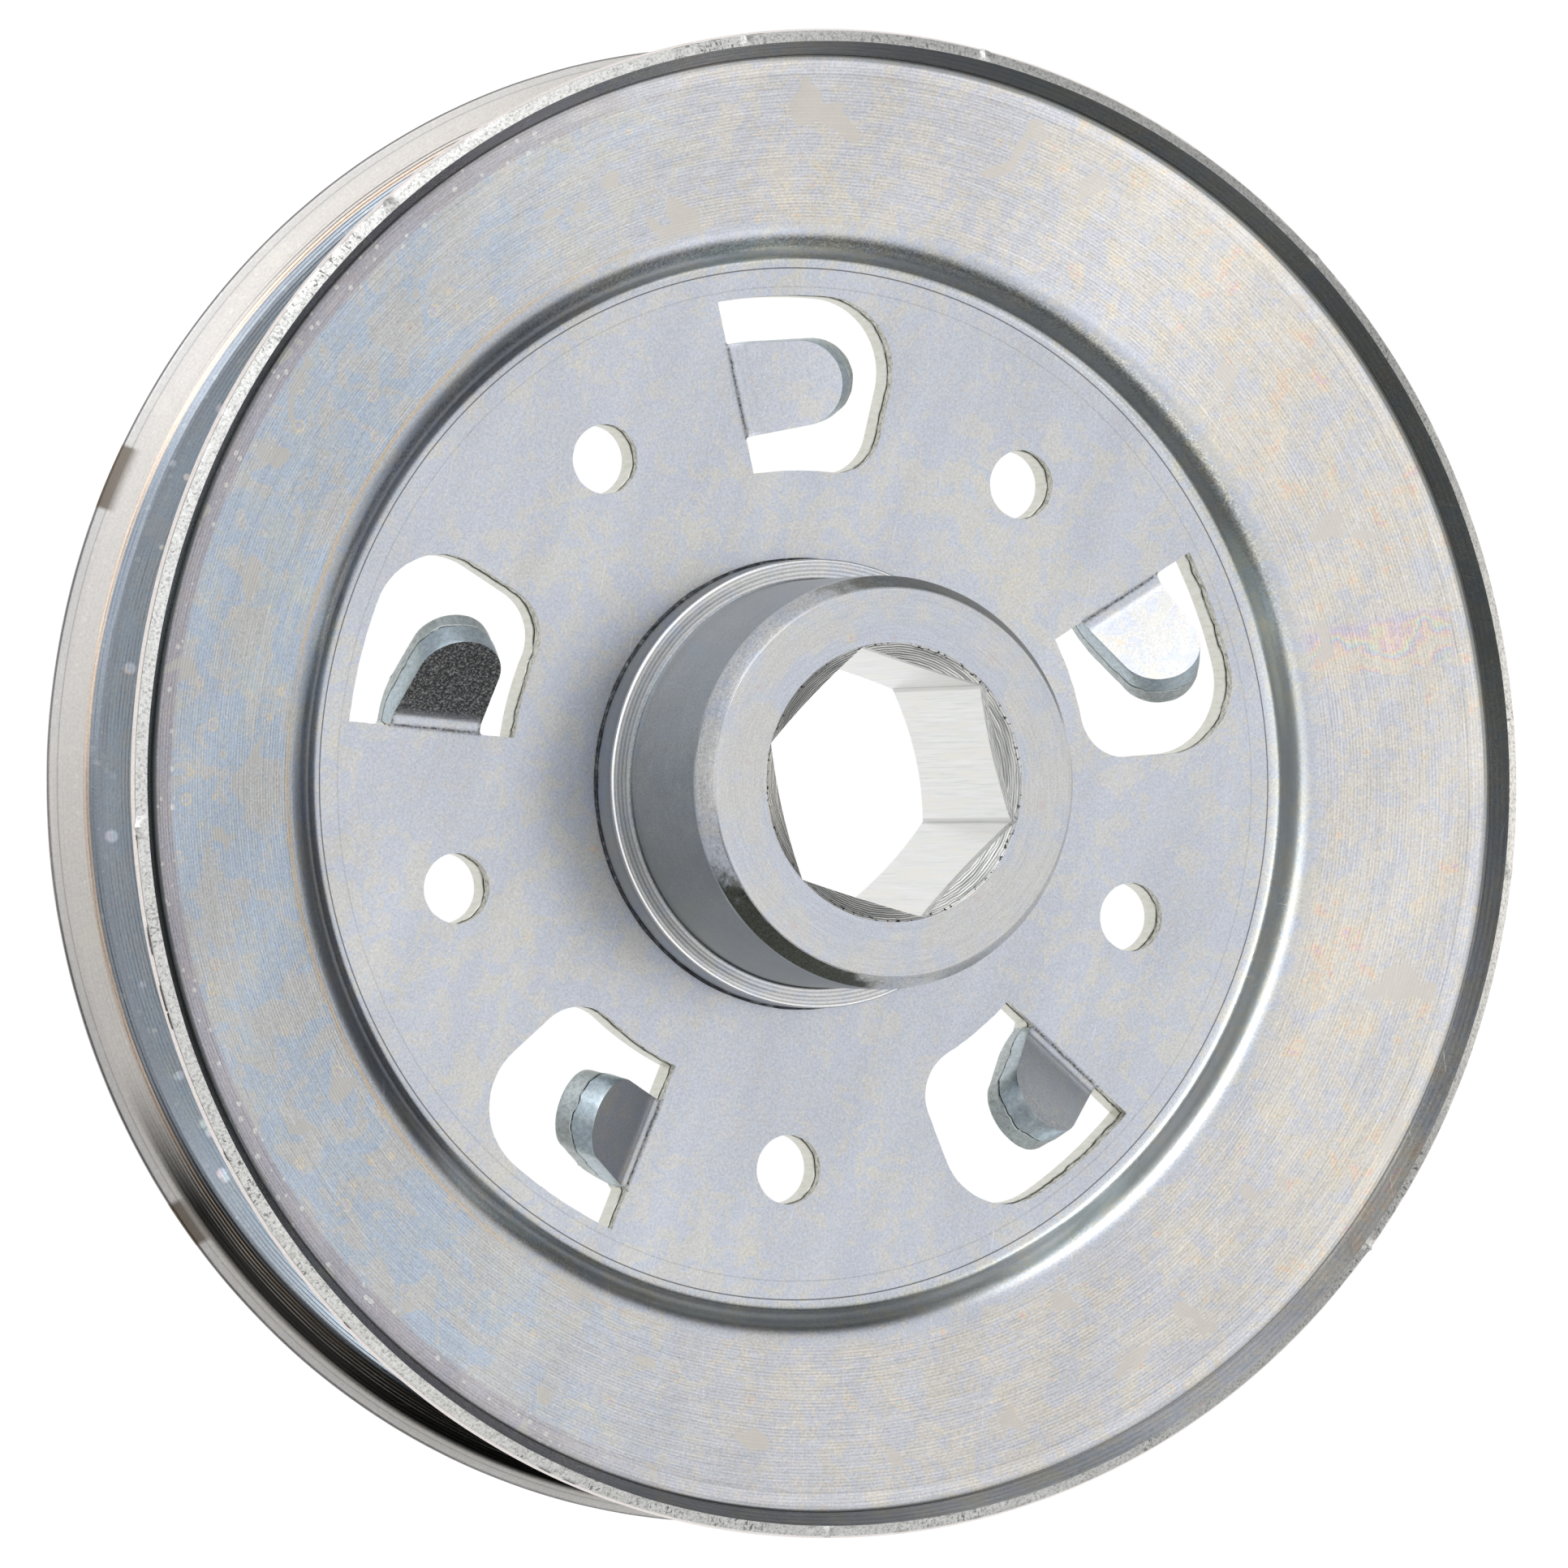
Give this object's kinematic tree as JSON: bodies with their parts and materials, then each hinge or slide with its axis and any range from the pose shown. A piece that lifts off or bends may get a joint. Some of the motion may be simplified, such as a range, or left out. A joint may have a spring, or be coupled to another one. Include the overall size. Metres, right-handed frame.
{
  "type": "v-belt pulley",
  "caption": "Stamped V-belt pulley with a split and spun steel rim, windows with bent tabs, and a welded hub with a hexagonal bore.",
  "frame": {"origin": "on the axis of rotation, at the middle of the disc's thickness, which is also the middle of the belt groove", "axes": "+Z along the axis of rotation, toward the hub's nose; +X through the first of the small holes in the disc"},
  "size_m": [0.14, 0.14, 0.036],
  "materials": {
    "zinc_plated_steel": "bright zinc plated, with rolling and spinning lines and faint iridescent stains",
    "turned_steel": "turned and bright zinc plated, satin barrel",
    "weld_steel": "dark plated weld bead"
  },
  "bodies": {
    "root": {"sheave": "zinc_plated_steel", "hub": "turned_steel", "hub_weld": "weld_steel"}
  },
  "joints": []
}
